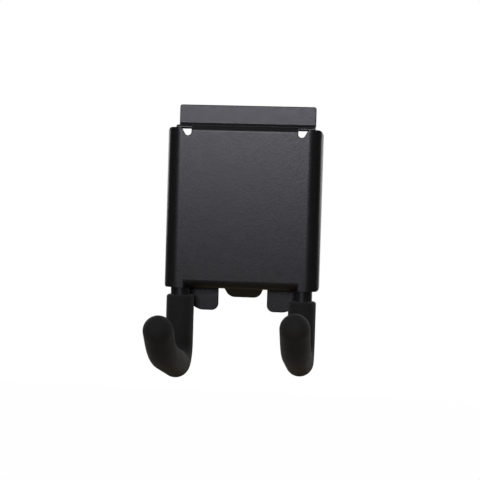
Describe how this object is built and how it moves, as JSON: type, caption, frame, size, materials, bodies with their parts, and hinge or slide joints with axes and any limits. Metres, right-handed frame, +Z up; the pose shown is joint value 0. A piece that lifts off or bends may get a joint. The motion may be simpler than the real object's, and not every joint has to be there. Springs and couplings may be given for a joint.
{
  "type": "wall track double utility hook",
  "caption": "Black steel double hook with rubber-sleeved arms and a folded plate that hangs in a garage wall track.",
  "frame": {"origin": "middle of the front face of the upturned lip, the face that bears inside the wall track's upper edge", "axes": "+Z up, -Y towards the front where the hooks reach out, +X to the right seen from the front"},
  "size_m": [0.095, 0.104, 0.1675],
  "materials": {
    "powder_coat": "semi-gloss black powder coat on steel",
    "sleeve_rubber": "matt black rubber"
  },
  "bodies": {
    "root": {"bracket_plate": "powder_coat", "left_hook_rod": "powder_coat", "left_grip_sleeve": "sleeve_rubber", "left_upper_weld": "powder_coat", "left_lower_weld": "powder_coat", "right_hook_rod": "powder_coat", "right_grip_sleeve": "sleeve_rubber", "right_upper_weld": "powder_coat", "right_lower_weld": "powder_coat"}
  },
  "joints": []
}
